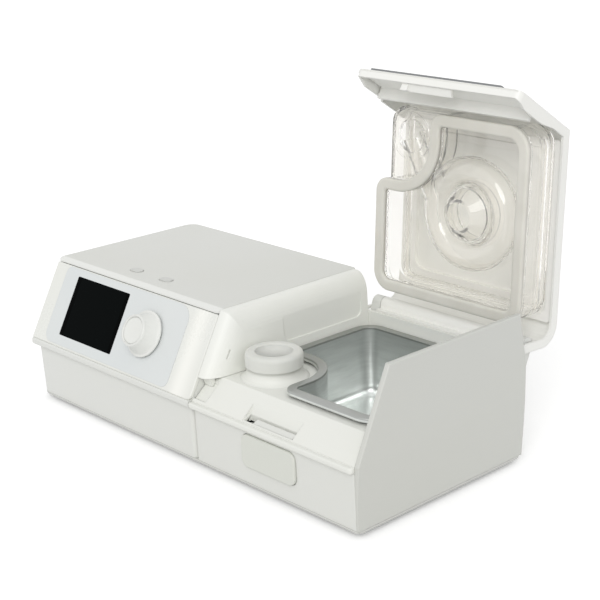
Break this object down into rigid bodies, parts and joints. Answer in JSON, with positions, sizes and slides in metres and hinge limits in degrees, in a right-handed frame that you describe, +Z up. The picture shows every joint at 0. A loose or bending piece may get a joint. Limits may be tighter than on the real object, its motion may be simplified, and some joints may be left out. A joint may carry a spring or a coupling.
{
  "type": "cpap machine",
  "caption": "Bench-top breathing machine with a blower console, sloped control panel and a heated water chamber under a clear-lined flip-up lid.",
  "frame": {"origin": "centre of the body's footprint, on the plane its feet stand on, at the underside of the middle foot", "axes": "+X to the user's right from the console to the humidifier, +Y to the back, +Z up"},
  "size_m": [0.303, 0.1826, 0.2233],
  "materials": {
    "shell_white": "fine satin",
    "cover_white": "fine satin",
    "bezel_white": "gloss",
    "panel_white": "satin",
    "lid_white": "semi gloss",
    "key_white": "satin",
    "knob_white": "semi gloss",
    "base_grey": "fine texture",
    "overlay_blue": "smooth membrane",
    "lens_black": "high gloss",
    "trim_grey": "smoked gloss",
    "dark_plastic": "fine texture",
    "circuit_board": "solder resist",
    "frosted_silicone": "frosted translucent",
    "rubber": "matte",
    "foam": "open cell",
    "steel": "bright",
    "motor_steel": "zinc plated",
    "tub_metal": "satin drawn metal",
    "heater_aluminium": "satin",
    "impeller_white": "smooth",
    "clear_plastic": "clear moulded polycarbonate"
  },
  "bodies": {
    "housing": {"base_pan": "base_grey", "feet": "rubber", "base_screws": "steel", "console_base": "shell_white", "humidifier_base": "shell_white", "console_shell": "shell_white", "top_cover": "cover_white", "front_panel": "bezel_white", "panel_overlay": "overlay_blue", "display_lens": "lens_black", "display_module": "dark_plastic", "encoder_body": "dark_plastic", "key_board": "circuit_board", "humidifier_housing": "shell_white", "flank_wall": "shell_white", "side_panel": "panel_white", "air_boss": "shell_white", "silicone_cap": "frosted_silicone", "heater_plate": "heater_aluminium", "heater_bed": "dark_plastic", "key_spring": "steel", "hinge_bracket": "shell_white", "hinge_pins": "steel", "blower_base": "dark_plastic", "blower_cover": "dark_plastic", "blower_motor": "motor_steel", "blower_mount": "rubber", "air_duct": "dark_plastic", "inlet_muffler": "foam", "air_filter": "foam", "dc_inlet": "dark_plastic", "air_outlet": "shell_white", "main_board": "circuit_board"},
    "lid": {"lid_shell": "lid_white", "lid_trim": "trim_grey", "lid_liner": "lid_white", "latch_tongue": "lid_white", "chamber_cover": "clear_plastic", "chamber_gasket": "frosted_silicone"},
    "knob_shaft": {"encoder_shaft": "steel"},
    "knob": {"knob": "knob_white", "knob_insert": "knob_white"},
    "power_key": {"power_button": "key_white"},
    "ramp_key": {"ramp_button": "key_white"},
    "release_key": {"release_button": "key_white"},
    "latch": {"latch_slide": "shell_white"},
    "fan": {"impeller": "impeller_white"},
    "filter_door": {"filter_cover": "shell_white"},
    "tub": {"water_tub": "tub_metal"}
  },
  "joints": [
    {"name": "lid_hinge", "type": "hinge", "parent": "housing", "child": "lid", "pos_m": [0.0848, 0.0782, 0.0705], "axis": [1, 0, 0], "range_deg": [0, 93]},
    {"name": "knob_press", "type": "slide", "parent": "housing", "child": "knob_shaft", "axis": [0, 0.8814, -0.4724], "range_m": [0, 0.0006], "stiffness_N_per_m": 800},
    {"name": "knob_turn", "type": "hinge", "parent": "knob_shaft", "child": "knob", "pos_m": [-0.041, -0.06318, 0.07004], "axis": [0, -0.8814, 0.4724], "continuous": true},
    {"name": "power_press", "type": "slide", "parent": "housing", "child": "power_key", "axis": [0, 0, -1], "range_m": [0, 0.0006], "stiffness_N_per_m": 600},
    {"name": "ramp_press", "type": "slide", "parent": "housing", "child": "ramp_key", "axis": [0, 0, -1], "range_m": [0, 0.0006], "stiffness_N_per_m": 600},
    {"name": "release_press", "type": "slide", "parent": "housing", "child": "release_key", "axis": [0, 1, 0], "range_m": [0, 0.0015], "stiffness_N_per_m": 900, "deforming": ["key_spring"]},
    {"name": "latch_move", "type": "slide", "parent": "housing", "child": "latch", "axis": [0, 1, 0], "range_m": [0, 0.0015]},
    {"name": "fan_spin", "type": "hinge", "parent": "housing", "child": "fan", "pos_m": [-0.062, 0.005, 0.035], "axis": [0, 0, 1], "continuous": true},
    {"name": "filter_pull", "type": "slide", "parent": "housing", "child": "filter_door", "axis": [0, 1, 0], "range_m": [0, 0.02]},
    {"name": "tub_lift", "type": "slide", "parent": "housing", "child": "tub", "axis": [0, 0, 1], "range_m": [0, 0.09]}
  ],
  "couplings": [
    {"joint": "latch_move", "follows": "release_press", "ratio": 1}
  ]
}
